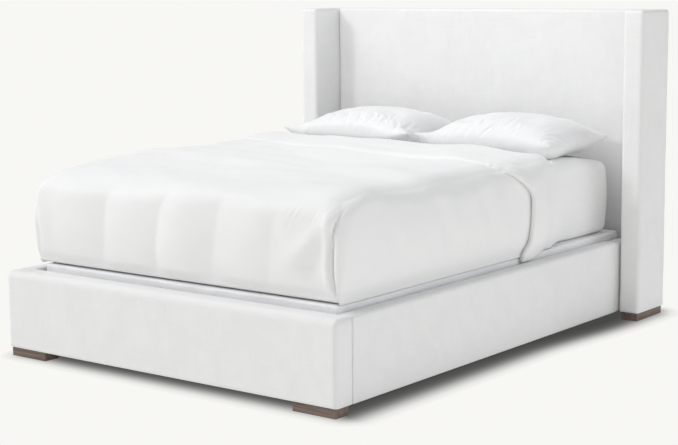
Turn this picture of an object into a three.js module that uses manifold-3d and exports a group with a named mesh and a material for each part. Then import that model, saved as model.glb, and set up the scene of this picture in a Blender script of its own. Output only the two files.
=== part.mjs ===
// An upholstered queen bed: a panel headboard between two wings, a padded footboard and side rails,
// a slatted frame under a raised fabric-covered deck, and the mattress with its bedding.
//
// Millimetres. +X is to the right seen from the foot, +Y runs towards the headboard, +Z is up.
// The origin is on the floor, under the middle of the whole bed.

import * as THREE from "three";
import { mergeVertices } from "three/addons/utils/BufferGeometryUtils.js";
import Module from "manifold-3d";

const wasm = await Module();
wasm.setup();

// ---------------------------------------------------------------- driving sizes

const GAP = 0.3; // clearance left between neighbouring pieces

const BED = { width: 1935, length: 2354, height: 1397 };
const FOOT_HEIGHT = 35;

const WING = { thickness: 98.5, depth: 261, pad: 16, corner: 12 };
const PANEL = { thickness: 74, boardThickness: 18, skin: 4, corner: 14 };
const FOOTBOARD = { thickness: 100, pad: 20, corner: 16, edge: 26 };
const RAIL = { top: 360, thickness: 72, pad: 12, corner: 5, edge: 14, wingClearance: 4 };
const RAIL_TONGUE = { beforeWing: 12, side: 5, drop: 6 }; // the thinner end, between the wings

// The deck lies loose in the frame, shifted a little to the right.
const DECK = { halfWidth: 770, shift: 13, frontGap: 18, backGap: 37, bottom: 300, top: 384 };
const DECK_COVER = { skin: 4, corner: 14, edge: 12 };
const DECK_BOARD_THICKNESS = 18;

const SLAT = { count: 9, width: 75, thickness: 18 };
const CLEAT = { width: 30, height: 40 };
const BEAM = { width: 60, height: 100 };
const CENTRE_LEG = { count: 3, side: 50, bottom: 14 };

const MATTRESS = { width: 1524, length: 2032, thickness: 362, deckInset: 33, corner: 60, edge: 35 };
const SHEET_THICKNESS = 3;
const DUVET = { thickness: 38, hem: 391, end: 230, corner: 85, edge: 70 };
const FOLD = { thickness: 40, loft: 54, end: 545 };
const PILLOW = { length: 738, width: 508, thickness: 168, corner: 60, taper: 200 };

// ---------------------------------------------------------------- derived positions

const FRONT = -BED.length / 2;
const BACK = BED.length / 2;
const WING_OUTER = BED.width / 2;
const WING_INNER = WING_OUTER - WING.thickness;
const WING_FRONT = BACK - WING.depth;
const PANEL_FRONT = BACK - PANEL.thickness;
const RAIL_OUTER = WING_INNER - RAIL.wingClearance;
const RAIL_INNER = RAIL_OUTER - RAIL.thickness;
const FOOTBOARD_BACK = FRONT + FOOTBOARD.thickness;
const SLAT_BOTTOM = DECK.bottom - SLAT.thickness;
const DECK_FRONT = FOOTBOARD_BACK + DECK.frontGap;
const DECK_BACK = PANEL_FRONT - DECK.backGap;
const SIDES = [["left", -1], ["right", 1]];

// ---------------------------------------------------------------- shape helpers

const CORNER_STEPS = 4;
const EDGE_STEPS = 4;
const SMALLEST_RADIUS = 0.5;

function bounds(x0, x1, y0, y1, z0, z1) {
  return { x0, x1, y0, y1, z0, z1 };
}

// The box between two distances from the middle plane, on the side that sign gives.
function sideBounds(sign, inner, outer, y0, y1, z0, z1) {
  const reach = [sign * inner, sign * outer];
  return bounds(Math.min(...reach), Math.max(...reach), y0, y1, z0, z1);
}

function inset(box, x, y = x, z = 0) {
  return bounds(box.x0 + x, box.x1 - x, box.y0 + y, box.y1 - y, box.z0 + z, box.z1 - z);
}

// A rounded rectangle at height z, drawn inwards from the box by the inset, anticlockwise from above.
function outline(box, cornerRadius, drawnIn, z) {
  const radius = Math.max(cornerRadius - drawnIn, SMALLEST_RADIUS);
  const x = (box.x1 - box.x0) / 2 - drawnIn - radius;
  const y = (box.y1 - box.y0) / 2 - drawnIn - radius;
  const middle = new THREE.Vector3((box.x0 + box.x1) / 2, (box.y0 + box.y1) / 2, z);
  const corners = [[x, y], [-x, y], [-x, -y], [x, -y]];
  const points = [];
  corners.forEach(([cornerX, cornerY], quarter) => {
    for (let step = 0; step <= CORNER_STEPS; step += 1) {
      const angle = ((quarter + step / CORNER_STEPS) * Math.PI) / 2;
      const around = new THREE.Vector3(
        cornerX + radius * Math.cos(angle),
        cornerY + radius * Math.sin(angle),
        0,
      );
      points.push(around.add(middle));
    }
  });
  return points;
}

// A closed solid through a stack of outlines that have the same number of points, lowest first.
function loft(rings) {
  const size = rings[0].length;
  const vertices = rings.flat();
  const triangles = [];
  for (let ring = 0; ring + 1 < rings.length; ring += 1) {
    for (let point = 0; point < size; point += 1) {
      const a = ring * size + point;
      const b = ring * size + ((point + 1) % size);
      triangles.push(a, b, b + size, a, b + size, a + size);
    }
  }
  const centreOf = (ring) => ring.reduce((sum, p) => sum.add(p), new THREE.Vector3()).divideScalar(size);
  const bottom = vertices.push(centreOf(rings[0])) - 1;
  const top = vertices.push(centreOf(rings[rings.length - 1])) - 1;
  const lastRing = (rings.length - 1) * size;
  for (let point = 0; point < size; point += 1) {
    const next = (point + 1) % size;
    triangles.push(bottom, next, point);
    triangles.push(top, lastRing + point, lastRing + next);
  }
  const geometry = new THREE.BufferGeometry().setFromPoints(vertices);
  geometry.setIndex(triangles);
  return geometry;
}

// A box with rounded upright corners and, where a radius is given, rounded top and bottom edges.
function block(box, corner, topEdge = 0, bottomEdge = 0) {
  const rings = [];
  const steps = (radius) => (radius > 0 ? EDGE_STEPS : 0);
  for (let step = 0; step <= steps(bottomEdge); step += 1) {
    const angle = (step / Math.max(steps(bottomEdge), 1)) * (Math.PI / 2);
    const drawnIn = bottomEdge * (1 - Math.sin(angle));
    rings.push(outline(box, corner, drawnIn, box.z0 + bottomEdge * (1 - Math.cos(angle))));
  }
  for (let step = 0; step <= steps(topEdge); step += 1) {
    const angle = (step / Math.max(steps(topEdge), 1)) * (Math.PI / 2);
    const drawnIn = topEdge * (1 - Math.cos(angle));
    rings.push(outline(box, corner, drawnIn, box.z1 - topEdge * (1 - Math.sin(angle))));
  }
  return loft(rings);
}

function plainBox(box) {
  const geometry = new THREE.BoxGeometry(box.x1 - box.x0, box.y1 - box.y0, box.z1 - box.z0);
  return geometry.translate((box.x0 + box.x1) / 2, (box.y0 + box.y1) / 2, (box.z0 + box.z1) / 2);
}

// A round rod, or a hexagonal one with six sides, from a start point along a direction.
function rod(radius, start, direction, length, sides = 20) {
  const geometry = new THREE.CylinderGeometry(radius, radius, length, sides);
  const turn = new THREE.Quaternion().setFromUnitVectors(new THREE.Vector3(0, 1, 0), direction);
  const middle = start.clone().addScaledVector(direction, length / 2);
  return geometry.applyQuaternion(turn).translate(middle.x, middle.y, middle.z);
}

function toManifold(geometry) {
  const bare = geometry.clone();
  bare.deleteAttribute("normal");
  bare.deleteAttribute("uv");
  const welded = mergeVertices(bare, 1e-4);
  return new wasm.Manifold(new wasm.Mesh({
    numProp: 3,
    vertProperties: Float32Array.from(welded.getAttribute("position").array),
    triVerts: Uint32Array.from(welded.index.array),
  }));
}

function fromManifold(solid) {
  const mesh = solid.getMesh();
  const geometry = new THREE.BufferGeometry();
  geometry.setAttribute("position", new THREE.BufferAttribute(mesh.vertProperties, 3));
  geometry.setIndex(new THREE.BufferAttribute(mesh.triVerts, 1));
  return geometry;
}

function join(first, second) {
  return fromManifold(toManifold(first).add(toManifold(second)));
}

function cut(geometry, tools) {
  let solid = toManifold(geometry);
  for (const tool of tools) {
    solid = solid.subtract(toManifold(tool));
  }
  return fromManifold(solid);
}

// ---------------------------------------------------------------- materials

function material(color, roughness, metalness = 0) {
  return new THREE.MeshStandardMaterial({ color, roughness, metalness });
}

const linen = () => material(0xe4e3e0, 0.95);
const deckCloth = () => material(0xd3d3dd, 0.95);
const bedLinen = () => material(0xf1f0ee, 0.9);
const foam = () => material(0xe9dfb8, 0.95);
const blackCloth = () => material(0x1c1c1e, 0.95);
const timber = () => material(0xcdb48a, 0.7);
const plywood = () => material(0xd4bd94, 0.65);
const weatheredWood = () => material(0x5e5048, 0.75);
const steel = () => material(0x3a3b3d, 0.45, 0.9);
const blackPlastic = () => material(0x202022, 0.6);

const bed = new THREE.Group();
bed.name = "upholstered_headboard_bed";

function add(name, geometry, look) {
  const shape = geometry.index ? geometry.toNonIndexed() : geometry;
  shape.computeVertexNormals();
  const mesh = new THREE.Mesh(shape, look);
  mesh.name = name;
  bed.add(mesh);
}

// ---------------------------------------------------------------- corner fixings

const BRACKET = { leg: 60, gauge: 4, bottom: 80, top: 220 };
const BOLT = { radius: 4, headRadius: 7.5, headHeight: 5.5, height: 150, fromCorner: 38 };
const BOLT_CLEARANCE = 0.3;
const BOLT_REACH = { rail: 34, footboard: 56, headboard: 66 };

// The four inside corners of the frame: where each is, which way the end board and the rail lie.
const FRAME_CORNERS = SIDES.flatMap(([side, sign]) => [
  { name: `front_${side}`, side, sign, y: FOOTBOARD_BACK, end: -1, endReach: BOLT_REACH.footboard },
  { name: `back_${side}`, side, sign, y: PANEL_FRONT, end: 1, endReach: BOLT_REACH.headboard },
]);

// Both bolts of a corner: where each one's head meets the bracket, and the way it points.
function cornerBolts(corner) {
  const face = GAP + BRACKET.gauge;
  const x = corner.sign * (RAIL_INNER - BOLT.fromCorner);
  const y = corner.y - corner.end * BOLT.fromCorner;
  return [
    {
      name: `${corner.name}_rail_bolt`,
      seat: new THREE.Vector3(corner.sign * (RAIL_INNER - face), y, BOLT.height),
      direction: new THREE.Vector3(corner.sign, 0, 0),
      reach: BOLT_REACH.rail,
    },
    {
      name: `${corner.name}_end_bolt`,
      seat: new THREE.Vector3(x, corner.y - corner.end * face, BOLT.height),
      direction: new THREE.Vector3(0, corner.end, 0),
      reach: corner.endReach,
    },
  ];
}

function boltHoles(bolts) {
  return bolts.map((bolt) => {
    const start = bolt.seat.clone().addScaledVector(bolt.direction, -BOLT.headHeight);
    const depth = BOLT.headHeight + bolt.reach + BOLT_CLEARANCE;
    return rod(BOLT.radius + BOLT_CLEARANCE, start, bolt.direction, depth);
  });
}

function railHoles(side) {
  const corners = FRAME_CORNERS.filter((corner) => corner.side === side);
  return boltHoles(corners.map((corner) => cornerBolts(corner)[0]));
}

function endHoles(end) {
  const corners = FRAME_CORNERS.filter((corner) => corner.end === end);
  return boltHoles(corners.map((corner) => cornerBolts(corner)[1]));
}

function addCornerBrackets() {
  for (const corner of FRAME_CORNERS) {
    const { sign, end } = corner;
    const outer = RAIL_INNER - GAP;
    const y = corner.y - end * GAP;
    const along = [y, y - end * BRACKET.leg].sort((a, b) => a - b);
    const across = [y, y - end * BRACKET.gauge].sort((a, b) => a - b);
    const { bottom, top } = BRACKET;
    const railLeg = plainBox(sideBounds(sign, outer - BRACKET.gauge, outer, ...along, bottom, top));
    const endLeg = plainBox(sideBounds(sign, outer - BRACKET.leg, outer, ...across, bottom, top));
    const bolts = cornerBolts(corner);
    add(`${corner.name}_bracket`, cut(join(railLeg, endLeg), boltHoles(bolts)), steel());
    for (const bolt of bolts) {
      add(bolt.name, boltShape(bolt), steel());
    }
  }
}

function boltShape({ seat, direction, reach }) {
  const lifted = seat.clone().addScaledVector(direction, -GAP);
  const headStart = lifted.clone().addScaledVector(direction, -BOLT.headHeight);
  const head = rod(BOLT.headRadius, headStart, direction, BOLT.headHeight, 6);
  const shank = rod(BOLT.radius, headStart, direction, BOLT.headHeight + reach);
  return join(head, shank);
}

// ---------------------------------------------------------------- headboard

function addHeadboardPanel() {
  const outer = bounds(1 - WING_INNER, WING_INNER - 1, PANEL_FRONT, BACK - 2, FOOT_HEIGHT, BED.height);
  const behind = { ...inset(outer, -1), y0: outer.y1, y1: outer.y1 + 2 * PANEL.corner, z1: outer.z1 + 1 };
  const pocket = { ...inset(outer, PANEL.skin, 0, PANEL.skin), y0: outer.y0 + PANEL.skin, y1: behind.y1 };
  const boardFront = outer.y1 - PANEL.boardThickness;
  const snug = inset(pocket, GAP, 0, GAP);
  const pad = { ...snug, y0: pocket.y0 + GAP, y1: boardFront - GAP };
  const innerCorner = PANEL.corner - PANEL.skin;
  const board = { ...snug, y0: boardFront, y1: outer.y1, z1: snug.z1 - innerCorner };
  const dustCover = bounds(outer.x0 + 8, outer.x1 - 8, outer.y1 + GAP, BACK, outer.z0 + 8, outer.z1 - 20);
  const holes = endHoles(1);
  const blank = block({ ...outer, y1: outer.y1 + PANEL.corner }, PANEL.corner, PANEL.corner);
  const room = block(pocket, innerCorner, innerCorner);
  add("headboard_cover", cut(blank, [plainBox(behind), room, ...holes]), linen());
  add("headboard_foam", cut(block(pad, innerCorner, innerCorner), holes), foam());
  add("headboard_board", cut(plainBox(board), holes), plywood());
  add("headboard_dust_cover", plainBox(dustCover), blackCloth());
}

function addWings() {
  for (const [side, sign] of SIDES) {
    const outer = sideBounds(sign, WING_INNER, WING_OUTER, WING_FRONT, BACK, FOOT_HEIGHT, BED.height);
    const pocket = { ...inset(outer, WING.pad), z0: outer.z0 - 1, z1: outer.z1 - WING.pad };
    const core = { ...inset(pocket, GAP), z0: outer.z0 + GAP, z1: pocket.z1 - GAP };
    add(`${side}_wing_cover`, cut(block(outer, WING.corner, WING.corner), [plainBox(pocket)]), linen());
    add(`${side}_wing_core`, plainBox(core), timber());
  }
}

// ---------------------------------------------------------------- footboard and side rails

function addFootboard() {
  const outer = bounds(-RAIL_OUTER, RAIL_OUTER, FRONT, FOOTBOARD_BACK, FOOT_HEIGHT, RAIL.top);
  const pocket = { ...inset(outer, FOOTBOARD.pad), z0: outer.z0 - 1, z1: outer.z1 - FOOTBOARD.pad };
  const core = { ...inset(pocket, GAP), z0: outer.z0 + GAP, z1: pocket.z1 - GAP };
  const holes = endHoles(-1);
  const cover = cut(block(outer, FOOTBOARD.corner, FOOTBOARD.edge), [plainBox(pocket), ...holes]);
  add("footboard_cover", cover, linen());
  add("footboard_core", cut(plainBox(core), holes), timber());
}

function addSideRails() {
  const start = FOOTBOARD_BACK + GAP;
  const end = PANEL_FRONT - GAP;
  for (const [side, sign] of SIDES) {
    const outer = sideBounds(sign, RAIL_INNER, RAIL_OUTER, start, end, FOOT_HEIGHT, RAIL.top);
    const pocket = { ...inset(outer, RAIL.pad), z0: outer.z0 - 1, z1: outer.z1 - RAIL.pad };
    const core = { ...inset(pocket, GAP), z0: outer.z0 + GAP, z1: pocket.z1 - GAP };
    const holes = railHoles(side);
    add(`${side}_rail_cover`, cut(railPadding(sign, outer), [plainBox(pocket), ...holes]), linen());
    add(`${side}_rail_core`, cut(plainBox(core), holes), timber());
    add(`${side}_slat_cleat`, plainBox(cleatBounds(sign, start + 1, end - 1)), timber());
  }
}

// The full padding ends just before the wing. A thinner tongue of it runs on to the headboard panel.
function railPadding(sign, outer) {
  const full = { ...outer, y1: WING_FRONT - RAIL_TONGUE.beforeWing };
  const tongueOuter = RAIL_OUTER - RAIL_TONGUE.side;
  const tongueTop = RAIL.top - RAIL_TONGUE.drop;
  const tongueStart = full.y1 - 2 * RAIL.edge;
  const tongue = sideBounds(sign, RAIL_INNER, tongueOuter, tongueStart, outer.y1, outer.z0, tongueTop);
  return join(block(full, RAIL.corner, RAIL.edge), block(tongue, RAIL.corner, RAIL.edge));
}

function cleatBounds(sign, y0, y1) {
  const outer = RAIL_INNER - GAP;
  const top = SLAT_BOTTOM - GAP;
  return sideBounds(sign, outer - CLEAT.width, outer, y0, y1, top - CLEAT.height, top);
}

// ---------------------------------------------------------------- slatted base

function addCentreBeam() {
  const top = SLAT_BOTTOM - GAP;
  const bottom = top - BEAM.height;
  const half = BEAM.width / 2;
  const ends = [FOOTBOARD_BACK + GAP, PANEL_FRONT - GAP];
  add("centre_beam", plainBox(bounds(-half, half, ...ends, bottom, top)), timber());
  addBeamHanger("front_beam_hanger", ends[0], 1, bottom - GAP);
  addBeamHanger("back_beam_hanger", ends[1], -1, bottom - GAP);
}

// A steel angle under one end of the beam: a shelf, and a plate down the face of the end board.
function addBeamHanger(name, y, inwards, shelfTop) {
  const half = BEAM.width / 2;
  const gauge = BRACKET.gauge;
  const along = [y, y + inwards * BRACKET.leg].sort((a, b) => a - b);
  const across = [y, y + inwards * gauge].sort((a, b) => a - b);
  const shelf = plainBox(bounds(-half, half, ...along, shelfTop - gauge, shelfTop));
  const plate = plainBox(bounds(-half, half, ...across, shelfTop - BRACKET.leg, shelfTop));
  add(name, join(shelf, plate), steel());
}

function addCentreLegs() {
  const top = SLAT_BOTTOM - BEAM.height - 2 * GAP;
  const half = CENTRE_LEG.side / 2;
  const up = new THREE.Vector3(0, 0, 1);
  const names = ["front", "middle", "back"];
  const spacing = (PANEL_FRONT - FOOTBOARD_BACK) / (CENTRE_LEG.count + 1);
  names.forEach((name, index) => {
    const y = FOOTBOARD_BACK + spacing * (index + 1);
    const floor = new THREE.Vector3(0, y, 0);
    const socket = rod(5 + GAP, floor, up, CENTRE_LEG.bottom + 26);
    const leg = plainBox(bounds(-half, half, y - half, y + half, CENTRE_LEG.bottom, top));
    const glide = join(rod(20, floor, up, 8), rod(5, floor, up, CENTRE_LEG.bottom + 25));
    add(`${name}_centre_leg`, cut(leg, [socket]), timber());
    add(`${name}_leg_leveller`, glide, blackPlastic());
  });
}

function addSlats() {
  const reach = RAIL_INNER - 2;
  const first = DECK_FRONT + 20;
  const last = DECK_BACK - 20 - SLAT.width;
  for (let index = 0; index < SLAT.count; index += 1) {
    const y = first + ((last - first) * index) / (SLAT.count - 1);
    const slat = bounds(-reach, reach, y, y + SLAT.width, SLAT_BOTTOM, DECK.bottom);
    add(`slat_${index + 1}`, plainBox(slat), timber());
  }
}

// ---------------------------------------------------------------- deck

function addDeck() {
  const left = DECK.shift - DECK.halfWidth;
  const right = DECK.shift + DECK.halfWidth;
  const outer = bounds(left, right, DECK_FRONT, DECK_BACK, DECK.bottom + GAP, DECK.top);
  const { skin, corner, edge } = DECK_COVER;
  const pocket = { ...inset(outer, skin), z0: outer.z0 - 1, z1: outer.z1 - skin };
  const inside = inset(pocket, GAP);
  const boardTop = outer.z0 + DECK_BOARD_THICKNESS;
  const middle = (DECK_FRONT + DECK_BACK) / 2;
  const board = { ...inside, z0: outer.z0, z1: boardTop };
  const pad = { ...inside, z0: boardTop + GAP, z1: pocket.z1 - GAP };
  const innerCorner = corner - skin;
  const innerEdge = edge - skin;
  const halves = { front: { ...board, y0: middle - 0.5 }, back: { ...board, y1: middle + 0.5 } };
  add("deck_cover", cut(block(outer, corner, edge), [block(pocket, innerCorner, innerEdge)]), deckCloth());
  add("deck_foam", block(pad, innerCorner, innerEdge), foam());
  for (const [name, otherHalf] of Object.entries(halves)) {
    add(`${name}_deck_board`, cut(block(board, innerCorner), [plainBox(otherHalf)]), plywood());
  }
}

// ---------------------------------------------------------------- feet

const FOOT_TOP = FOOT_HEIGHT - GAP;
const FRONT_FOOT = { length: 200, depth: 75, fromEdge: 10 };
const BACK_FOOT = { width: 78, length: 241, fromEdge: 9 };

function addFeet() {
  for (const [side, sign] of SIDES) {
    const outer = RAIL_OUTER - FRONT_FOOT.fromEdge;
    const y = FRONT + FRONT_FOOT.fromEdge;
    const front = sideBounds(sign, outer - FRONT_FOOT.length, outer, y, y + FRONT_FOOT.depth, 0, FOOT_TOP);
    const wingOuter = WING_OUTER - BACK_FOOT.fromEdge;
    const start = WING_FRONT + BACK_FOOT.fromEdge;
    const end = start + BACK_FOOT.length;
    const back = sideBounds(sign, wingOuter - BACK_FOOT.width, wingOuter, start, end, 0, FOOT_TOP);
    add(`front_${side}_foot`, block(front, 3, 0, 1.5), weatheredWood());
    add(`back_${side}_foot`, block(back, 3, 0, 1.5), weatheredWood());
  }
}

// ---------------------------------------------------------------- mattress and bedding

const MATTRESS_FRONT = DECK_FRONT + MATTRESS.deckInset;
const MATTRESS_BOX = bounds(
  -MATTRESS.width / 2,
  MATTRESS.width / 2,
  MATTRESS_FRONT,
  MATTRESS_FRONT + MATTRESS.length,
  DECK.top + GAP,
  DECK.top + GAP + MATTRESS.thickness,
);
const SHEET_BOX = {
  ...inset(MATTRESS_BOX, -SHEET_THICKNESS - GAP),
  z0: DECK.top + GAP,
  z1: MATTRESS_BOX.z1 + SHEET_THICKNESS + GAP,
};
const SHEET_EDGE = MATTRESS.edge + SHEET_THICKNESS;
const SHEET_CORNER = MATTRESS.corner + SHEET_THICKNESS;

function addMattress() {
  const pocket = { ...inset(MATTRESS_BOX, -GAP), z0: MATTRESS_BOX.z0 - 1, z1: MATTRESS_BOX.z1 + GAP };
  const around = block(SHEET_BOX, SHEET_CORNER, SHEET_EDGE);
  const sheet = cut(around, [block(pocket, MATTRESS.corner, MATTRESS.edge)]);
  add("mattress", block(MATTRESS_BOX, MATTRESS.corner, MATTRESS.edge, MATTRESS.edge), foam());
  add("fitted_sheet", sheet, bedLinen());
}

// The room that bedding leaves for the sheeted mattress, open below and on to a chosen length.
function beddingPocket(y0, y1) {
  const pocket = inset(SHEET_BOX, -GAP);
  return { ...pocket, y0: y0 ?? pocket.y0, y1, z0: DUVET.hem - 2 * SHEET_EDGE, z1: SHEET_BOX.z1 + GAP };
}

function addDuvet() {
  const outer = {
    ...inset(SHEET_BOX, -DUVET.thickness),
    y1: DUVET.end + DUVET.corner,
    z0: DUVET.hem,
    z1: SHEET_BOX.z1 + DUVET.thickness,
  };
  const beyond = bounds(outer.x0, outer.x1, DUVET.end, outer.y1 + 1, outer.z0 - 1, outer.z1 + 1);
  const room = beddingPocket(undefined, outer.y1 + 2 * SHEET_CORNER);
  const solid = cut(block(outer, DUVET.corner, DUVET.edge, 12), [
    block(room, SHEET_CORNER, SHEET_EDGE),
    plainBox(beyond),
  ]);
  add("duvet", solid, bedLinen());
}

function addTurnedDownFold() {
  const start = DUVET.end + 1;
  const outer = {
    ...inset(SHEET_BOX, -FOLD.thickness),
    y0: start,
    y1: FOLD.end,
    z0: DUVET.hem,
    z1: SHEET_BOX.z1 + FOLD.loft,
  };
  const room = beddingPocket(start - 2 * SHEET_CORNER, FOLD.end + 2 * SHEET_CORNER);
  add("duvet_turned_fold", cut(block(outer, 18, DUVET.edge, 12), [block(room, 1, SHEET_EDGE)]), bedLinen());
}

// A soft cushion: the outline draws in towards the top and the bottom like an ellipse.
function cushion(box, corner, taper) {
  const rings = [];
  const steps = 8;
  const middle = (box.z0 + box.z1) / 2;
  const half = (box.z1 - box.z0) / 2;
  for (let step = 0; step <= steps; step += 1) {
    const angle = (step / steps - 0.5) * Math.PI;
    rings.push(outline(box, corner, taper * (1 - Math.cos(angle)), middle + half * Math.sin(angle)));
  }
  return loft(rings);
}

function addPillows() {
  const bottom = SHEET_BOX.z1 + GAP;
  const fronts = { left: 494, right: 520 };
  for (const [side, sign] of SIDES) {
    const y = fronts[side];
    const top = bottom + PILLOW.thickness;
    const box = sideBounds(sign, 2, 2 + PILLOW.length, y, y + PILLOW.width, bottom, top);
    add(`${side}_pillow`, cushion(box, PILLOW.corner, PILLOW.taper), bedLinen());
  }
}

// ---------------------------------------------------------------- assembly

addHeadboardPanel();
addWings();
addFootboard();
addSideRails();
addCornerBrackets();
addCentreBeam();
addCentreLegs();
addSlats();
addDeck();
addFeet();
addMattress();
addDuvet();
addTurnedDownFold();
addPillows();

export default bed;
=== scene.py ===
"""The looks of an upholstered queen bed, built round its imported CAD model.

Everything is in metres, in the model's own frame: +X to the right seen from the foot, +Y towards the
headboard, +Z up, with the origin on the floor under the middle of the bed.
"""

import math

import bpy
import numpy as np
from mathutils import Matrix, Vector


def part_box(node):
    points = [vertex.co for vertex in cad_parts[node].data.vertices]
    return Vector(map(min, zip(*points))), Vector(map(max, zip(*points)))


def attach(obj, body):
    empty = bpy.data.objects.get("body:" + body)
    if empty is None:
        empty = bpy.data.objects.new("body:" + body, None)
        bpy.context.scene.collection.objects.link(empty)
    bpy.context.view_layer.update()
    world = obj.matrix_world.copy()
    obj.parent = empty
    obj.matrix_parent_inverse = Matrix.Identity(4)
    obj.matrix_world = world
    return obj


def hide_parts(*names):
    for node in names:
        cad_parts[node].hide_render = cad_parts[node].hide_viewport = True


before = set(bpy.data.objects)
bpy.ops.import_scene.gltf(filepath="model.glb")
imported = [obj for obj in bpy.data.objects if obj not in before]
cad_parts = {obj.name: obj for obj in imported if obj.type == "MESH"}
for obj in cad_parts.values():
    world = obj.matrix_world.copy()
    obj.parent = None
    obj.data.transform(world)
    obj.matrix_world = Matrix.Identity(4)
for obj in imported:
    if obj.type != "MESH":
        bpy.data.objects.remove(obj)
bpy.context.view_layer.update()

MM = 0.001
SIDES = (("left", -1), ("right", 1))

# ------------------------------------------------------------------------------ small helpers


def node_box(name):
    """The lowest and highest corners of a CAD node, as arrays."""
    low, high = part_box(name)
    return np.array(low, dtype=float), np.array(high, dtype=float)


def smooth_step(value, start, end):
    """0 before start, 1 after end, and a smooth rise between them."""
    part = np.clip((value - start) / (end - start), 0.0, 1.0)
    return part * part * (3.0 - 2.0 * part)


def bump(value, centre, width):
    """A bell of height 1 at the centre."""
    return np.exp(-(((value - centre) / width) ** 2))


def ripples(points, wavelength, seed, waves=16):
    """Smooth random swells of about unit height through space."""
    rng = np.random.default_rng(seed)
    total = np.zeros(len(points))
    for _ in range(waves):
        direction = rng.normal(size=3)
        direction /= np.linalg.norm(direction)
        pace = 2.0 * math.pi / (wavelength * rng.uniform(0.7, 1.6))
        total += np.sin(points @ direction * pace + rng.uniform(0.0, 2.0 * math.pi))
    return total / math.sqrt(waves / 2.0)


def crease(across, along, start, end, width, bow=0.0):
    """1 along a line between two places on a face, falling off to its sides and towards its ends.

    across and along are each point's two coordinates on the face. bow bends the line sideways.
    """
    start = np.array(start)
    run = np.array(end) - start
    length = np.hypot(*run)
    run = run / length
    offset_a = across - start[0]
    offset_b = along - start[1]
    part = (offset_a * run[0] + offset_b * run[1]) / length
    aside = offset_a * run[1] - offset_b * run[0]
    aside = aside - bow * 4.0 * np.clip(part, 0, 1) * (1 - np.clip(part, 0, 1))
    ends = smooth_step(part, -0.05, 0.25) * (1.0 - smooth_step(part, 0.65, 1.05))
    return np.exp(-((aside / width) ** 2)) * ends


def grid_faces(index):
    """The four-sided faces between the points of a grid, given as an array of point numbers."""
    corners = index[:-1, :-1], index[1:, :-1], index[1:, 1:], index[:-1, 1:]
    return np.stack([corner.ravel() for corner in corners], axis=1)


# ------------------------------------------------------------------------------ forms

OPEN_TURN = math.radians(88)  # how far an open edge curls round before it ends
FINE = (-3.0, -1.5, 0.0, 1.5, 3.0)  # extra grid lines on each side of a seam, in millimetres


def ruler(low, high, radius_low, radius_high, step, marks):
    """Grid lines from low to high, closer together over the rounded ends and beside each mark."""
    turns = (max(4, math.ceil(1.2 * radius / step)) for radius in (radius_low, radius_high))
    turn_low, turn_high = turns
    middle = max(2, math.ceil((high - low - radius_low - radius_high) / step))
    lines = np.concatenate([
        np.linspace(low, low + radius_low, turn_low, endpoint=False),
        np.linspace(low + radius_low, high - radius_high, middle, endpoint=False),
        np.linspace(high - radius_high, high, turn_high + 1),
    ])
    for mark in marks:
        near = np.abs(lines - mark) < 4.0 * MM
        near[[0, -1]] = False
        lines = np.concatenate([lines[~near], mark + np.array(FINE) * MM])
    return np.unique(lines.round(6))


def wrap(unit, box, radii, opened=(), foot=1.0):
    """Places grid points, given from 0 to 1 across a box, on that box with its edges rounded off.

    radii is a (low side, high side) pair for each axis. foot is how much of the X and Y radius is
    left lower down. opened lists the (axis, side) faces that are left off: the surface curls
    right round towards them. Returns the points and the outward directions.
    """
    low, high = box
    pairs = np.array(radii)
    radius = np.where(unit > 0.5, pairs[:, 1], pairs[:, 0])
    radius[:, :2] *= foot + (1.0 - foot) * unit[:, 2:] ** 3
    points = low + unit * (high - low)
    core = np.clip(points, low + radius, high - radius)
    lean = (points - core) / radius
    for axis, side in opened:
        sign = 1 if side else -1
        towards = np.clip(sign * lean[:, axis], 0.0, 1.0)
        lean[:, axis] = np.where(towards > 0, sign * np.tan(towards * OPEN_TURN), lean[:, axis])
    lean /= np.linalg.norm(lean, axis=1, keepdims=True)
    outward = lean / radius
    outward /= np.linalg.norm(outward, axis=1, keepdims=True)
    return core + lean * radius, outward


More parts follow.
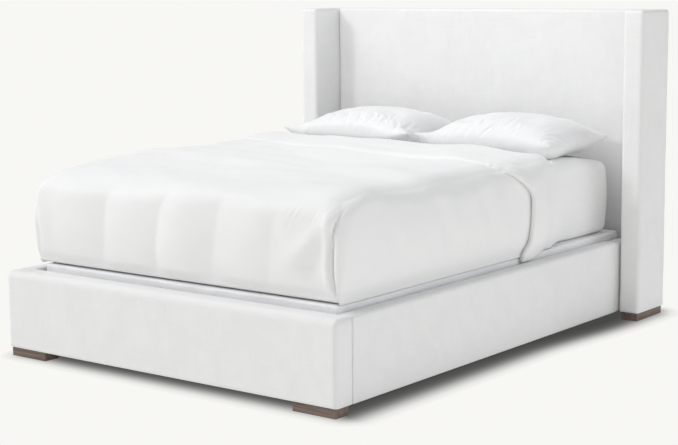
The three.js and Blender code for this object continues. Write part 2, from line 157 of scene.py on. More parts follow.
class Form:
    """A closed skin over a rounded box, fine enough to be pushed in and out point by point."""

    def __init__(self, box, radii, step, opened=(), foot=1.0, marks=((), (), ())):
        low, high = box
        lines = [
            ruler(low[axis], high[axis], *radii[axis], step, marks[axis]) for axis in range(3)
        ]
        sizes = [len(line) for line in lines]
        shell = np.zeros(sizes, dtype=bool)
        for axis in range(3):
            ends = np.moveaxis(shell, axis, 0)
            ends[[0, -1]] = True
        index = np.full(sizes, -1)
        index[shell] = np.arange(shell.sum())
        places = np.argwhere(shell)
        grid = np.column_stack([lines[axis][places[:, axis]] for axis in range(3)])
        self.unit = (grid - low) / (high - low)
        self.quads = self._faces(index, opened)
        self.opened = opened
        self.foot = foot
        self.points, self.outward = wrap(self.unit, box, radii, opened, foot)

    @staticmethod
    def _faces(index, opened):
        quads = []
        for axis in range(3):
            turned = np.moveaxis(index, (axis, (axis + 1) % 3, (axis + 2) % 3), (0, 1, 2))
            for side in (0, 1):
                if (axis, side) in opened:
                    continue
                faces = grid_faces(turned[-side])
                quads.append(faces if side else faces[:, ::-1])
        return np.concatenate(quads)

    def facing(self, x=0.0, y=0.0, z=0.0):
        """How far each point faces a direction, from 0 to 1."""
        return np.clip(self.outward @ np.array([x, y, z]), 0.0, 1.0)

    def push(self, amount):
        """Moves each point outwards by its own amount."""
        self.points = self.points + self.outward * np.reshape(amount, (-1, 1))

    def line_with(self, box, radii):
        """Gives an open skin its thickness: an inner skin over another box, and a rim between them."""
        inner, _ = wrap(self.unit, box, radii, self.opened, self.foot)
        count = len(self.points)
        edges = np.concatenate([self.quads[:, [i, (i + 1) % 4]] for i in range(4)])
        known = {(a, b) for a, b in edges.tolist()}
        rim = [(b, a, a + count, b + count) for a, b in known if (b, a) not in known]
        rim.sort()
        self.quads = np.concatenate([self.quads, self.quads[:, ::-1] + count, np.array(rim)])
        self.points = np.concatenate([self.points, inner])

    def build(self, name, material):
        return build_mesh(name, self.points, self.quads, material)


def build_mesh(name, points, faces, material):
    """A smooth mesh object from points and faces, without the points that no face uses."""
    faces = np.asarray(faces)
    used, renumbered = np.unique(faces, return_inverse=True)
    mesh = bpy.data.meshes.new(name)
    mesh.from_pydata(np.asarray(points)[used].tolist(), [], renumbered.reshape(faces.shape).tolist())
    mesh.polygons.foreach_set("use_smooth", [True] * len(mesh.polygons))
    mesh.update()
    piece = bpy.data.objects.new(name, mesh)
    bpy.context.scene.collection.objects.link(piece)
    mesh.materials.append(material)
    return piece


def inset_box(box, low_by, high_by):
    return box[0] + np.array(low_by), box[1] - np.array(high_by)


# ------------------------------------------------------------------------------ materials


def feed(tree, socket, value):
    """Links a socket to another node's output, or sets it to a value."""
    if isinstance(value, bpy.types.NodeSocket):
        tree.links.new(value, socket)
    else:
        socket.default_value = value


def add_node(tree, kind, settings=None, **inputs):
    """Adds a shader node, with its settings and its input values or links."""
    made = tree.nodes.new("ShaderNode" + kind)
    for name, value in (settings or {}).items():
        setattr(made, name, value)
    for name, value in inputs.items():
        feed(tree, made.inputs[name.replace("_", " ")], value)
    return made


def add_math(tree, operation, first, second, kind="Math"):
    made = add_node(tree, kind, {"operation": operation})
    feed(tree, made.inputs[0], first)
    feed(tree, made.inputs[1], second)
    return made.outputs[0]


def add_ramp(tree, factor, stops):
    """A colour ramp through (place, grey or colour) stops."""
    ramp = add_node(tree, "ValToRGB", Fac=factor)
    elements = ramp.color_ramp.elements
    while len(elements) < len(stops):
        elements.new(0.5)
    for element, (place, color) in zip(elements, stops):
        element.position = place
        element.color = (*color, 1.0)
    return ramp.outputs["Color"]


def add_relief(tree, shader, height, strength, depth):
    """Gives a surface fine relief, depth metres deep."""
    relief = add_node(tree, "Bump", Height=height, Strength=strength, Distance=depth)
    tree.links.new(relief.outputs["Normal"], shader.inputs["Normal"])


def new_material(name):
    material = bpy.data.materials.new(name)
    material.use_nodes = True
    tree = material.node_tree
    shader = tree.nodes["Principled BSDF"]
    place = add_node(tree, "TexCoord").outputs["Object"]
    return material, tree, shader, place


def tinted(color, amount):
    return tuple(min(1.0, channel * amount) for channel in color)


def streaks(tree, place, width, length):
    """Uneven yarns: noise drawn out along each axis in turn, then averaged."""
    total = 0.0
    for axis in range(3):
        stretch = [1.0 / width] * 3
        stretch[axis] = 1.0 / length
        mapped = add_node(tree, "Mapping", Vector=place, Scale=stretch).outputs["Vector"]
        lines = add_node(tree, "TexNoise", Vector=mapped, Scale=1.0, Detail=2.0).outputs["Fac"]
        total = add_math(tree, "ADD", total, lines)
    return add_math(tree, "DIVIDE", total, 3.0)


def weave_waves(tree, place, thread):
    """The regular over-and-under of the yarns, as the mean of a wave along each axis."""
    total = 0.0
    for axis in "XYZ":
        drawing = {"Scale": math.pi / (20.0 * thread), "Distortion": 1.6, "Detail": 2.0}
        wobble = {"Detail_Scale": 0.35, "Detail_Roughness": 0.6}
        wave = add_node(tree, "TexWave", {"bands_direction": axis}, Vector=place, **drawing, **wobble)
        total = add_math(tree, "ADD", total, wave.outputs["Fac"])
    return add_math(tree, "DIVIDE", total, 3.0)


def mix(tree, *parts):
    """The sum of shader values, each given with its share."""
    total = 0.0
    for value, share in parts:
        total = add_math(tree, "ADD", total, add_math(tree, "MULTIPLY", value, share))
    return total


def cloth(name, color, thread, contrast, sheen=0.2, weave=0.35, slub=0.5, crumple=0.0):
    """A plain weave. thread is the width of one yarn, contrast how much the yarns differ in colour.

    weave, slub and crumple are the depths in millimetres of the relief of the yarns, of the thick
    and thin places along them, and of the whole cloth.
    """
    material, tree, shader, place = new_material(name)
    yarns = weave_waves(tree, place, thread)
    fine = streaks(tree, place, 1.5 * thread, 30.0 * thread)
    coarse = streaks(tree, place, 3.4 * thread, 110.0 * thread)
    swell = add_node(tree, "TexNoise", Vector=place, Scale=8.0, Detail=3.0, Roughness=0.5)
    height = mix(tree, (yarns, weave), (fine, slub), (swell.outputs["Fac"], crumple))
    add_relief(tree, shader, height, 1.0, MM)
    shade = mix(tree, (fine, 0.3), (coarse, 0.5), (yarns, 0.2))
    stops = [(0.38, tinted(color, 1.0 - contrast)), (0.62, tinted(color, 1.0 + contrast))]
    tree.links.new(add_ramp(tree, shade, stops), shader.inputs["Base Color"])
    shader.inputs["Roughness"].default_value = 0.85
    shader.inputs["Sheen Weight"].default_value = sheen
    shader.inputs["Sheen Roughness"].default_value = 0.5
    shader.inputs["Specular IOR Level"].default_value = 0.2
    return material


def wood(name, dark, light, grain_axis, scale=1.0, roughness=0.6, relief_depth=0.3):
    """Solid wood with its grain drawn out along one axis."""
    material, tree, shader, place = new_material(name)
    stretch = [60.0 * scale] * 3
    stretch["XYZ".index(grain_axis)] = 3.0 * scale
    mapped = add_node(tree, "Mapping", Vector=place, Scale=stretch).outputs["Vector"]
    grain = {"Vector": mapped, "Scale": 1.0, "Detail": 6.0, "Roughness": 0.62, "Distortion": 0.6}
    figure = add_node(tree, "TexNoise", **grain).outputs["Fac"]
    fibre = add_node(tree, "TexNoise", Vector=mapped, Scale=5.0, Detail=4.0, Roughness=0.7)
    tone = mix(tree, (figure, 0.72), (fibre.outputs["Fac"], 0.28))
    middle = tuple((a + b) / 2 for a, b in zip(dark, light))
    stops = [(0.36, dark), (0.5, middle), (0.64, light)]
    tree.links.new(add_ramp(tree, tone, stops), shader.inputs["Base Color"])
    add_relief(tree, shader, tone, 0.8, relief_depth * MM)
    shader.inputs["Roughness"].default_value = roughness
    return material


def hard(name, color, roughness, metallic=0.0, grain=400.0, depth=0.04):
    """Painted metal or moulded plastic, with the fine unevenness of its surface."""
    material, tree, shader, place = new_material(name)
    speckle = add_node(tree, "TexNoise", Vector=place, Scale=grain, Detail=3.0).outputs["Fac"]
    stops = [(0.3, tinted(color, 0.85)), (0.7, tinted(color, 1.2))]
    tree.links.new(add_ramp(tree, speckle, stops), shader.inputs["Base Color"])
    add_relief(tree, shader, speckle, 0.6, depth * MM)
    shader.inputs["Roughness"].default_value = roughness
    shader.inputs["Metallic"].default_value = metallic
    return material


def foam_material():
    """Open-cell foam: cream and pitted all over, with painted shade darkening each pit."""
    material, tree, shader, place = new_material("open_cell_foam")
    cells = add_node(tree, "TexVoronoi", Vector=place, Scale=600.0).outputs["Distance"]
    # Darker towards the middle of each cell: painted shade in the pits.
    stops = [(0.0, (0.55, 0.50, 0.33)), (0.6, (0.80, 0.75, 0.56))]
    tree.links.new(add_ramp(tree, cells, stops), shader.inputs["Base Color"])
    add_relief(tree, shader, cells, 0.7, 0.4 * MM)
    shader.inputs["Roughness"].default_value = 0.95
    return material


LINEN_COLOR = (0.83, 0.83, 0.83)
# The deck cloth's pale, faint blue, made much lighter than the linen as painted light for the strip of
# deck that sits in the duvet's shade.
DECK_COLOR_WITH_PAINTED_LIGHT = (0.95, 0.95, 0.965)
COTTON_COLOR = (0.865, 0.865, 0.865)
# The pillows' cotton: a faint blue, and a shade darker than the bed cotton as painted shade that tones
# down the bright light on the pillow tops.
PILLOW_COLOR_WITH_PAINTED_SHADE = (0.85, 0.85, 0.857)
WEATHERED_COLORS = (0.085, 0.058, 0.045), (0.25, 0.185, 0.15)  # dark and light grain
PINE_COLORS = (0.46, 0.32, 0.18), (0.66, 0.50, 0.31)

linen = cloth("upholstery_linen", LINEN_COLOR, thread=1.2 * MM, contrast=0.035)
deck_weave = cloth("deck_weave", DECK_COLOR_WITH_PAINTED_LIGHT, thread=1.3 * MM, contrast=0.04)
COTTON_YARNS = {"thread": 0.5 * MM, "contrast": 0.02, "weave": 0.1, "slub": 0.1}
cotton = cloth("bed_cotton", COTTON_COLOR, crumple=1.2, **COTTON_YARNS)
pillow_cotton = cloth("pillow_cotton", PILLOW_COLOR_WITH_PAINTED_SHADE, crumple=1.0, **COTTON_YARNS)
dust_cloth = cloth("dust_cloth", (0.02, 0.02, 0.022), thread=0.9 * MM, contrast=0.2, sheen=0.1)
foot_wood_x = wood("weathered_wood_across", *WEATHERED_COLORS, "X")
foot_wood_y = wood("weathered_wood_along", *WEATHERED_COLORS, "Y")
slat_pine = wood("pine_across", *PINE_COLORS, "X", 0.7, 0.65)
frame_pine = wood("pine_along", *PINE_COLORS, "Y", 0.7, 0.65)
upright_pine = wood("pine_upright", *PINE_COLORS, "Z", 0.7, 0.65)
board_ply = wood("birch_ply", (0.52, 0.40, 0.25), (0.70, 0.57, 0.39), "Y", 0.4, 0.55)
black_steel = hard("black_steel", (0.03, 0.03, 0.032), 0.45, metallic=0.6)
black_plastic = hard("black_plastic", (0.02, 0.02, 0.02), 0.55)
foam = foam_material()


def repaint(name, material):
    """Gives a CAD node that stays in view its finished material."""
    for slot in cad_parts[name].material_slots:
        slot.material = material


def repaint_frame_nodes():
    finishes = {
        "_bolt": black_steel,
        "_bracket": black_steel,
        "_hanger": black_steel,
        "_leveller": black_plastic,
        "_foam": foam,
        "slat_cleat": frame_pine,
        "wing_core": upright_pine,
        "footboard_core": slat_pine,
        "rail_core": frame_pine,
        "centre_beam": frame_pine,
        "centre_leg": upright_pine,
        "_board": board_ply,
        "slat_": slat_pine,
        "front_left_foot": foot_wood_x,
        "front_right_foot": foot_wood_x,
        "back_left_foot": foot_wood_y,
        "back_right_foot": foot_wood_y,
    }
    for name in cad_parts:
        for part, material in finishes.items():
            if part in name:
                repaint(name, material)
                break


# ------------------------------------------------------------------------------ upholstery


POCKET_RADII = ((1 * MM, 1 * MM),) * 3  # a cover's pocket fits over a core with nearly sharp edges


def finish_piece(piece, nodes, body):
    """Hides the CAD nodes that a padded piece stands in for, and attaches the piece to the body it
    moves with.
    """
    if nodes:
        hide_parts(*nodes)
    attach(piece, body)


def soft_unevenness(form, seed, depth=0.7 * MM):
    """The slight waves of cloth pulled over padding."""
    wide = ripples(form.points, 0.24, seed)
    return depth * (wide + 0.35 * ripples(form.points, 0.07, seed + 1))


def seam(form, axis, place, depth=1.6 * MM, width=1.5 * MM, pucker=0.25):
    """A sewn line where the cloth dips, tighter at each stitch."""
    along = form.points[:, (axis + 1) % 3] + form.points[:, (axis + 2) % 3]
    stitches = 1.0 + pucker * np.sin(along * 2.0 * math.pi / (7.0 * MM))
    return -depth * bump(form.points[:, axis], place, width) * stitches


def make_headboard_panel():
    box = node_box("headboard_cover")
    corner = 14 * MM
    radii = ((corner, corner), (corner, 6 * MM), (6 * MM, corner))
    form = Form(box, radii, 14 * MM, opened=((1, 1),))
    front = form.facing(y=-1)
    across = np.abs(form.points[:, 0]) / box[1][0]
    crown = 2.5 * MM * (1 - across**4) * (1 - np.abs(form.unit[:, 2] * 2 - 1) ** 6)
    form.push(front * (crown - 2.5 * MM) + front * soft_unevenness(form, 3))
    skin = 4 * MM
    pocket = inset_box(box, (skin, skin, skin), (skin, 0, skin))
    inner = corner - skin
    form.line_with(pocket, ((inner, inner), (inner, 1 * MM), (1 * MM, inner)))
    piece = form.build("headboard_panel_upholstery", linen)
    finish_piece(piece, ["headboard_cover"], "bed_frame")


STAPLE_SPACING = 55 * MM


def make_dust_cover():
    """The thin black cloth over the headboard's back: a turned hem, staples and a little slack."""
    low, high = node_box("headboard_dust_cover")
    hem = 16 * MM
    lines = []
    for axis in (0, 2):
        marks = (low[axis] + hem, high[axis] - hem)
        lines.append(ruler(low[axis], high[axis], hem, hem, 9 * MM, marks))
    x, z = (grid.ravel() for grid in np.meshgrid(*lines, indexing="ij"))
    gap_x = np.minimum(x - low[0], high[0] - x)
    gap_z = np.minimum(z - low[2], high[2] - z)
    gap = np.minimum(gap_x, gap_z)
    along_edge = np.where(gap_x < gap_z, z, x)
    staples = (0.5 + 0.5 * np.cos(along_edge * 2 * math.pi / STAPLE_SPACING)) ** 4
    one_layer = smooth_step(gap, hem - 1 * MM, hem + 1 * MM)
    slack = smooth_step(gap, hem, 0.15) * (2 + ripples(np.column_stack([x, 0 * x, z]), 0.35, 41))
    depth = 0.5 * MM * one_layer + 0.9 * MM * staples * bump(gap, 8 * MM, 9 * MM) - 0.5 * MM * slack
    index = np.arange(len(x)).reshape([len(line) for line in lines])
    points = np.column_stack([x, high[1] - depth, z])
    piece = build_mesh("headboard_dust_sheet", points, grid_faces(index.T), dust_cloth)
    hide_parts("headboard_dust_cover")
    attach(piece, "bed_frame")


def make_wings():
    for number, (side, _) in enumerate(SIDES):
        box = node_box(f"{side}_wing_cover")
        corner = 17 * MM
        radii = ((corner, corner), (corner, corner), (6 * MM, corner))
        seams = box[0][1] + 15 * MM, box[1][1] - 15 * MM
        form = Form(box, radii, 9 * MM, opened=((2, 0),), marks=((), seams, ()))
        sides = form.facing(x=1) + form.facing(x=-1)
        waves = soft_unevenness(form, 20 + number, 0.6 * MM) - 1.0 * MM
        form.push(waves * (1 - form.facing(z=1)) * smooth_step(form.unit[:, 2], 0.0, 0.03))
        for place in seams:
            form.push(sides * seam(form, 1, place))
        pad = 15.6 * MM
        pocket = inset_box(box, (pad, pad, 0), (pad, pad, pad))
        form.line_with(pocket, POCKET_RADII)
        piece = form.build(f"{side}_wing_upholstery", linen)
        finish_piece(piece, [f"{side}_wing_cover"], "bed_frame")


def make_footboard():
    box = node_box("footboard_cover")
    corner = 15 * MM
    edge = 28 * MM
    radii = ((corner, corner), (edge, 8 * MM), (7 * MM, edge))
    form = Form(box, radii, 9 * MM, opened=((2, 0),))
    front = form.facing(y=-1)
    form.push(front * (soft_unevenness(form, 31) - 1.2 * MM) * smooth_step(form.unit[:, 2], 0.0, 0.1))
    pad = 19.6 * MM
    pocket = inset_box(box, (pad, pad, 0), (pad, pad, pad))
    form.line_with(pocket, POCKET_RADII)
    piece = form.build("footboard_upholstery", linen)
    finish_piece(piece, ["footboard_cover"], "bed_frame")


RAIL_BEFORE_WING = 12 * MM
RAIL_END_RADIUS = 20 * MM
TONGUE_INSET = 5 * MM
TONGUE_DROP = 6 * MM


def make_rails():
    wing_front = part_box("left_wing_cover")[0][1]
    for number, (side, sign) in enumerate(SIDES):
        low, high = node_box(f"{side}_rail_cover")
        end = wing_front - RAIL_BEFORE_WING
        full = (low, np.array([high[0], end, high[2]]))
        edge = 15 * MM
        radii = ((edge, edge), (4 * MM, RAIL_END_RADIUS), (6 * MM, edge))
        form = Form(full, radii, 9 * MM, opened=((2, 0),))
        outer = form.facing(x=sign)
        waves = soft_unevenness(form, 40 + number, 0.9 * MM) - 1.4 * MM
        form.push(outer * waves * smooth_step(form.unit[:, 2], 0.0, 0.1))
        core_low, core_high = node_box(f"{side}_rail_core")
        pad = 0.3 * MM
        pocket = (
            np.array([core_low[0] - pad, core_low[1] - pad, low[2]]),
            np.array([core_high[0] + pad, end - RAIL_END_RADIUS / 2, core_high[2] + pad]),
        )
        form.line_with(pocket, POCKET_RADII)
        piece = form.build(f"{side}_rail_upholstery", linen)
        finish_piece(piece, [f"{side}_rail_cover"], "bed_frame")
        make_rail_tongue(side, sign, low, high, end)


def make_rail_tongue(side, sign, low, high, start):
    """The rail's thinner end, which runs on between the wings to the headboard panel."""
    box_low = np.array([low[0], start - 2 * MM, low[2]])
    box_high = np.array([high[0], high[1], high[2] - TONGUE_DROP])
    outer_side = box_high if sign > 0 else box_low
    outer_side[0] -= sign * TONGUE_INSET
    edge = 12 * MM
    radii = ((edge, edge), (2 * MM, 2 * MM), (5 * MM, edge))
    form = Form((box_low, box_high), radii, 8 * MM, opened=((2, 0), (1, 0)))
    core_low, core_high = node_box(f"{side}_rail_core")
    pad = 0.3 * MM
    pocket = (
        np.array([core_low[0] - pad, box_low[1], low[2]]),
        np.array([core_high[0] + pad, core_high[1] + pad, core_high[2] + pad]),
    )
    form.line_with(pocket, POCKET_RADII)
    piece = form.build(f"{side}_rail_tongue", linen)
    finish_piece(piece, [], "bed_frame")


def make_deck():
    box = node_box("deck_cover")
    corner = 12 * MM
    radii = ((corner, corner), (corner, corner), (4 * MM, corner))
    form = Form(box, radii, 12 * MM, opened=((2, 0),))
    waves = soft_unevenness(form, 50, 1.2 * MM)
    form.push((waves - 1.6 * MM) * (1 - form.facing(z=1)) * smooth_step(form.unit[:, 2], 0.0, 0.2))
    skin = 3.7 * MM
    pocket = inset_box(box, (skin, skin, 0), (skin, skin, skin))
    inner = corner - skin
    form.line_with(pocket, ((inner, inner), (inner, inner), (1 * MM, 2 * MM)))
    piece = form.build("deck_upholstery", deck_weave)
    finish_piece(piece, ["deck_cover"], "bed_frame")


# ------------------------------------------------------------------------------ mattress and bedding

MATTRESS_LOW, MATTRESS_HIGH = node_box("fitted_sheet")


def make_mattress():
    """The mattress in its fitted sheet: soft edges, and head corners that droop where it is sat on."""
    box = (MATTRESS_LOW, MATTRESS_HIGH)
    radii = ((48 * MM, 48 * MM), (48 * MM, 48 * MM), (42 * MM, 50 * MM))
    form = Form(box, radii, 10 * MM)
    points = form.points
    half = MATTRESS_HIGH[0]
    rise = smooth_step(form.unit[:, 2], 0.35, 1.0)
    to_side = smooth_step(np.abs(points[:, 0]), half - 0.45, half)
    to_head = smooth_step(points[:, 1], MATTRESS_HIGH[1] - 0.30, MATTRESS_HIGH[1])
    droop = 30 * MM * rise * to_side * to_head + 4 * MM * rise * to_head
    belly = 9 * MM * np.sin(math.pi * form.unit[:, 2]) - 5 * MM
    walls = 1 - form.facing(z=1) - form.facing(z=-1)
    form.push(walls * belly + 1.2 * MM * ripples(points, 0.3, 60) - 1.2 * MM)
    form.points[:, 2] -= droop
    for side, sign in SIDES:
        corner = np.array([sign * half, MATTRESS_HIGH[1] - 0.03, MATTRESS_HIGH[2] - 0.03])
        form.push(corner_tucks(form, corner, sign))
    piece = form.build("mattress_in_fitted_sheet", cotton)
    finish_piece(piece, ["mattress", "fitted_sheet"], "mattress_set")


def corner_tucks(form, corner, sign):
    """Short creases that spread from a fitted sheet's corner along the side."""
    side = form.facing(x=sign)
    total = np.zeros(len(form.points))
    rng = np.random.default_rng(61)
    for angle in np.radians((200, 212, 225, 238, 252)):
        reach = rng.uniform(0.10, 0.20)
        end = corner[1] + reach * math.cos(angle), corner[2] + reach * math.sin(angle)
        total += crease(form.points[:, 1], form.points[:, 2], corner[1:], end, 7 * MM)
    return 2.0 * MM * side * total


DUVET_LOW, DUVET_HIGH = node_box("duvet")
FOOT_FOLDS = (-0.68, -0.38, -0.08, 0.215, 0.50)  # where the drape's valleys stand across the foot
SIDE_FOLDS = (-0.80, -0.46, -0.16, 0.0)  # where creases start along the shoulder
SIDE_FOLD_DEPTHS = (5 * MM, 6 * MM, 4 * MM, 3 * MM)
END_RADIUS = 12 * MM
# At the foot and at the sides: how far the hem is drawn in, and how much lower than its box it hangs.
HEM_DRAWN_IN = (10 * MM, 18 * MM)
HEM_DROP = (0 * MM, 12 * MM)
LEFT_PLEAT = 0.12  # how strong the tucked corner is on the left, with 1 on the right
ROUND_CORNER = 60 * MM  # how much further the hem is drawn in round the left foot corner


def drape(place, valleys, spread):
    """Soft folds between valleys: each one is an arch, so the cloth turns sharply only in a valley."""
    height = np.zeros(len(place))
    for start, end in zip(valleys, (*valleys[1:], valleys[-1] + spread)):
        part = (place - start) / (end - start)
        height = np.where((part >= 0) & (part < 1), 1 - (2 * part - 1) ** 2, height)
    return height


def foot_folds(form):
    """The folds that hang down the foot of the duvet and fade out over its rounded top."""
    x, z = form.points[:, 0], form.points[:, 2]
    lean = 0.10 * (z - 0.60) + 0.05 * smooth_step(z, 0.66, 0.80)
    place = x - lean + 12 * MM * ripples(form.points, 0.5, 71)
    top = smooth_step(z, DUVET_HIGH[2] + 0.03, DUVET_HIGH[2] - 0.12)
    uneven = 0.9 + 0.35 * ripples(form.points * np.array([1.0, 0.2, 0.6]), 0.5, 72)
    edge = smooth_step(x, -0.80, -0.66) * (1 - smooth_step(x, 0.52, 0.72))
    soft = sum(drape(place + shift * MM, FOOT_FOLDS, 0.30) for shift in (-10, -3, 3, 10)) / 4
    return 12 * MM * top * edge * uneven * soft


def side_folds(form, sign):
    """Creases that run down and back from the shoulder along one side."""
    total = np.zeros(len(form.points))
    y, z = form.points[:, 1], form.points[:, 2]
    top = DUVET_HIGH[2]
    for number, start in enumerate(SIDE_FOLDS):
        depth = SIDE_FOLD_DEPTHS[number]
        shift = 0.10 + 0.02 * number
        total -= depth * crease(y, z, (start, top), (start + shift, top - 0.33), 34 * MM, 0.02)
        beside = (start + 0.06, top), (start + shift + 0.07, top - 0.30)
        total += 0.6 * depth * crease(y, z, *beside, 38 * MM, 0.02)
    return total * form.facing(x=sign) ** 0.5


def height_in_duvet(z):
    """0 at the duvet's hem and 1 at its top."""
    return np.clip((z - DUVET_LOW[2]) / (DUVET_HIGH[2] - DUVET_LOW[2]), 0, 1)


def corner_pleat(form, sign):
    """The tucked corner: a slit down the foot face, a ridge across it and a fan of small creases."""
    x, y, z = (form.points[:, axis] for axis in range(3))
    foot = form.facing(y=-1)
    high = DUVET_HIGH[2]
    inwards = DUVET_HIGH[0] - sign * x
    height = height_in_duvet(z)
    width = 9 * MM * np.sin(math.pi * np.clip(height, 0.03, 0.86) / 0.9) ** 0.7
    depth = 30 * MM * smooth_step(height, 0.90, 0.70)
    centre = 12 * MM + 26 * MM * np.sin(math.pi * height**0.62)
    slit = -depth * bump(inwards, centre, np.maximum(width, 3 * MM))
    slit += 0.45 * depth * bump(inwards, centre - 2 * MM, 3 * MM)
    slit += 5 * MM * bump(inwards, centre + 26 * MM, 14 * MM) * smooth_step(height, 0.95, 0.7)
    across = sign * x
    corner = (DUVET_HIGH[0] - 12 * MM, high - 46 * MM)
    ridge = 11 * MM * crease(across, z, corner, (0.54, 0.50), 40 * MM, -0.02)
    valley = (corner[0] - 0.045, corner[1] - 0.07)
    ridge -= 12 * MM * crease(across, z, valley, (0.65, 0.45), 38 * MM)
    fan = np.zeros(len(x))
    rng = np.random.default_rng(80 + (sign > 0))
    for reach in np.linspace(0.04, 0.23, 11):
        top = (DUVET_HIGH[0] - 0.02 - reach * 0.85, high - 0.04 + 0.008 * rng.uniform(-1, 1))
        drop = 0.04 + 0.07 * rng.uniform(0.3, 1.0)
        lean = 0.25 * drop + 0.015
        depth = rng.uniform(0.6, 1.3)
        end = (top[0] - lean, top[1] - drop)
        fan -= depth * crease(across, z, top, end, 5 * MM, -3 * MM)
        fan += 0.7 * depth * crease(across - 9 * MM, z, top, end, 5 * MM)
    strength = 1.0 if sign > 0 else LEFT_PLEAT
    return strength * (foot * (slit + ridge) + 2.6 * MM * foot**0.5 * fan)


def duvet_swell(points, outward, height):
    """The loft of the filling: how far the duvet stands out from its plain rounded box.

    height is 0 at the hem and 1 at the top.
    """
    up = np.clip(outward[:, 2], 0, 1)
    hang = 1 - np.abs(outward[:, 2])
    top = 5.0 * MM * ripples(points, 0.55, 90) + 1.2 * MM * ripples(points, 0.16, 91)
    top += 15 * MM * smooth_step(-points[:, 0], 0.0, 0.6) * smooth_step(points[:, 1], -0.95, -0.4)
    belly = 25 * MM * np.sin(math.pi * np.clip(height, 0, 1)) - 11 * MM
    sides = 2.0 * MM * ripples(points, 0.35, 92) + 0.8 * MM * ripples(points, 0.11, 93)
    shoulder = bump(points[:, 2], DUVET_HIGH[2] - 0.03, 0.045)
    lumps = 7 * MM * shoulder * ripples(points * np.array([0.3, 1.0, 0.3]), 0.26, 77)
    return up * top + hang * (belly + sides) + lumps


def hem_share(height):
    """1 at the duvet's hem, 0 a little way above it."""
    return 1 - smooth_step(height, 0.0, 0.13)


def hem_shift(outward, hem):
    """How the hem is drawn in towards the mattress and hangs lower, more so at the sides."""
    to_side = smooth_step(np.abs(outward[:, 0]), 0.0, 0.5)
    at_foot, at_side = HEM_DRAWN_IN
    corner = np.clip(-outward[:, 0], 0, 1) * np.clip(-outward[:, 1], 0, 1)
    shift = -(at_foot + (at_side - at_foot) * to_side + ROUND_CORNER * corner)[:, None] * outward
    at_foot, at_side = HEM_DROP
    shift[:, 2] = -at_foot - (at_side - at_foot) * to_side
    return shift * hem[:, None]


DUVET_RADII = ((110 * MM, 110 * MM), (190 * MM, END_RADIUS), (14 * MM, 92 * MM))
DUVET_FOOT = 0.16  # how much of the corner radius is left at the hem


def make_duvet():
    box = (DUVET_LOW.copy(), DUVET_HIGH.copy())
    form = Form(box, DUVET_RADII, 7 * MM, opened=((2, 0), (1, 1)), foot=DUVET_FOOT)
    push = duvet_swell(form.points, form.outward, form.unit[:, 2])
    push = push + foot_folds(form) * form.facing(y=-1)
    for side, sign in SIDES:
        push = push + side_folds(form, sign) + corner_pleat(form, sign)
    hem = hem_share(form.unit[:, 2])
    form.push(push * (1 - hem))
    form.points += hem_shift(form.outward, hem)
    lining = inset_box(box, (36 * MM, 36 * MM, 2 * MM), (36 * MM, 2 * MM, 36 * MM))
    inner = 80 * MM
    form.line_with(lining, ((inner, inner), (inner, 5 * MM), (5 * MM, 50 * MM)))
    piece = form.build("duvet_quilt", cotton)
    finish_piece(piece, ["duvet"], "mattress_set")


FOLD_ROLL = 25 * MM  # how thick the band's front edge is
FOLD_LOFT = 36 * MM  # how thick the band is at its rear, in the middle of the bed
FOLD_LAP = 14 * MM  # how far its front edge laps over the duvet's end at the sides
FOLD_STEP = 8 * MM
FOLD_GAP = 1 * MM
FOLD_THIN_END = 12 * MM  # how far the band's rear end sinks below the duvet's surface at the sides
FOLD_REAR_CUT = 0.08  # how much sooner the band ends on top of the bed than at its sides
FOLD_HEM_CUT = 0.10  # how much sooner it ends at the very hem


def across_duvet():
    """Places across the bed over the duvet from the left hem to the right: unit, point, outward."""
    x_lines = ruler(DUVET_LOW[0], DUVET_HIGH[0], *DUVET_RADII[0], FOLD_STEP, ())
    z_lines = ruler(DUVET_LOW[2], DUVET_HIGH[2], *DUVET_RADII[2], FOLD_STEP, ())
    x_unit = (x_lines - DUVET_LOW[0]) / (DUVET_HIGH[0] - DUVET_LOW[0])
    z_unit = (z_lines - DUVET_LOW[2]) / (DUVET_HIGH[2] - DUVET_LOW[2])
    left = [(0.0, 0.5, part) for part in z_unit]
    top = [(part, 0.5, 1.0) for part in x_unit[1:-1]]
    right = [(1.0, 0.5, part) for part in z_unit[::-1]]
    unit = np.array(left + top + right)
    points, outward = wrap(unit, (DUVET_LOW, DUVET_HIGH), DUVET_RADII, ((2, 0),), DUVET_FOOT)
    return unit, points, outward


def fold_edges(across):
    """Where the turned band starts and ends along the bed, and its ruffles, at each place across it."""
    x, z = across[:, 0], across[:, 2]
    drop = smooth_step(z, DUVET_HIGH[2] + 0.01, DUVET_HIGH[2] - 0.15)
    on_top = 0.165 - 0.13 * (x + 0.75) / 1.4
    at_side = DUVET_HIGH[1] - FOLD_LAP
    hem = 0.03 * smooth_step(z, 0.47, DUVET_LOW[2])
    front = on_top + (at_side - on_top) * drop - hem
    place = np.cumsum(np.hypot(np.gradient(x), np.gradient(z)))
    shoulder = bump(x, DUVET_HIGH[0] - 0.10, 0.09) * smooth_step(z, 0.66, 0.74)
    ruffle = np.sin(place * 2 * math.pi / 0.036) + 0.6 * np.sin(place * 2 * math.pi / 0.021 + 1.0)
    rear_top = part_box("duvet_turned_fold")[1][1]
    rear = rear_top - FOLD_REAR_CUT * smooth_step(z, 0.45, DUVET_HIGH[2])
    rear -= FOLD_HEM_CUT * smooth_step(z, DUVET_LOW[2] + 0.03, DUVET_LOW[2])
    return front + 4 * MM * ruffle * shoulder, rear, shoulder * ruffle


def fold_thickness(across, outward):
    """How thick the band is at its front edge and at its rear, at each place across the bed."""
    x = across[:, 0]
    up = np.clip(outward[:, 2], 0, 1)
    front = FOLD_ROLL * (1 - 0.66 * up) * (1 - 0.4 * smooth_step(-x, 0.30, 0.70))
    middle = up * (1 - smooth_step(np.abs(x), 0.40, 0.74))
    return front, front + (FOLD_LOFT - FOLD_ROLL) * middle


